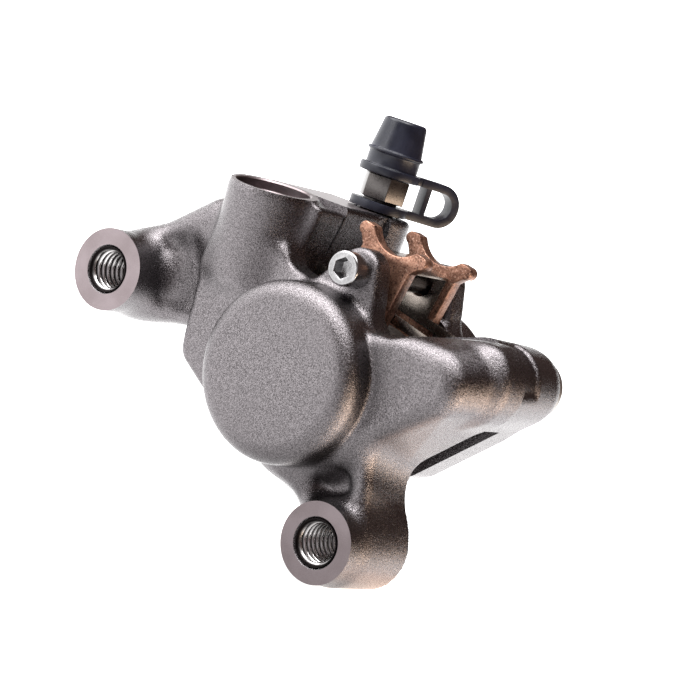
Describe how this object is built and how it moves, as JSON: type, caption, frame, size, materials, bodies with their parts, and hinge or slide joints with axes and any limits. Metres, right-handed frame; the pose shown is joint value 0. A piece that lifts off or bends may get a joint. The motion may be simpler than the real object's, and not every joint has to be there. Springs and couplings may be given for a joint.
{
  "type": "bicycle disc brake caliper",
  "caption": "Two piece hydraulic disc brake caliper with opposed pistons, top loading pads on a pin, bleed nipple and two tapped mounting lugs.",
  "frame": {"origin": "midway between the centres of the two tapped lug holes, in the plane of the lug faces", "axes": "+X from the upper lug's hole to the lower lug's hole, +Y from the lug faces back through the rotor groove, +Z away from the wheel's axle"},
  "size_m": [0.0627, 0.0402, 0.0461],
  "materials": {
    "body_metal": "forged aluminium, bead blasted and anodised a warm gunmetal grey",
    "bolt_steel": "plated steel, dull silver",
    "pin_steel": "turned stainless steel",
    "spring_steel": "bright spring steel",
    "piston_metal": "turned and hard anodised",
    "plate_copper": "copper coloured coating, worn and speckled",
    "lining": "sintered friction compound",
    "cap_rubber": "moulded rubber, semi matt",
    "seal_rubber": "seal rubber"
  },
  "bodies": {
    "caliper_body": {"front_half": "body_metal", "rear_half": "body_metal", "nose_bolt": "bolt_steel", "bridge_bolt": "bolt_steel", "crossover_seal": "seal_rubber", "front_piston_seal": "seal_rubber", "rear_piston_seal": "seal_rubber", "upper_thread_insert": "spring_steel", "lower_thread_insert": "spring_steel", "pad_spring": "spring_steel", "cap_strap": "cap_rubber"},
    "front_piston": {"front_piston": "piston_metal"},
    "rear_piston": {"rear_piston": "piston_metal"},
    "front_pad": {"front_pad_plate": "plate_copper", "front_pad_lining": "lining"},
    "rear_pad": {"rear_pad_plate": "plate_copper", "rear_pad_lining": "lining"},
    "pad_pin": {"pad_pin": "pin_steel"},
    "bleed_nipple": {"bleed_nipple": "pin_steel"},
    "bleed_cap": {"bleed_cap": "cap_rubber"}
  },
  "joints": [
    {"name": "front_piston_slide", "type": "slide", "parent": "caliper_body", "child": "front_piston", "axis": [0, 1, 0], "range_m": [-0.0005, 0.0011]},
    {"name": "front_pad_slide", "type": "slide", "parent": "caliper_body", "child": "front_pad", "axis": [0, 1, 0], "range_m": [-0.0005, 0.0011], "deforming": ["pad_spring"]},
    {"name": "rear_piston_slide", "type": "slide", "parent": "caliper_body", "child": "rear_piston", "axis": [0, -1, 0], "range_m": [-0.0005, 0.0011]},
    {"name": "rear_pad_slide", "type": "slide", "parent": "caliper_body", "child": "rear_pad", "axis": [0, -1, 0], "range_m": [-0.0005, 0.0011]},
    {"name": "pad_pin_pull", "type": "slide", "parent": "caliper_body", "child": "pad_pin", "axis": [0, -1, 0], "range_m": [0, 0.028]},
    {"name": "nipple_turn", "type": "hinge", "parent": "caliper_body", "child": "bleed_nipple", "pos_m": [-0.01301, 0.0253, 0.02681], "axis": [-0.4305, 0, 0.9026], "range_deg": [0, 180]},
    {"name": "cap_pull", "type": "slide", "parent": "caliper_body", "child": "bleed_cap", "axis": [-0.4305, 0, 0.9026], "range_m": [0, 0.009], "deforming": ["cap_strap"]}
  ],
  "couplings": [
    {"joint": "front_pad_slide", "follows": "front_piston_slide", "ratio": 1},
    {"joint": "rear_piston_slide", "follows": "front_piston_slide", "ratio": 1},
    {"joint": "rear_pad_slide", "follows": "front_piston_slide", "ratio": 1}
  ]
}
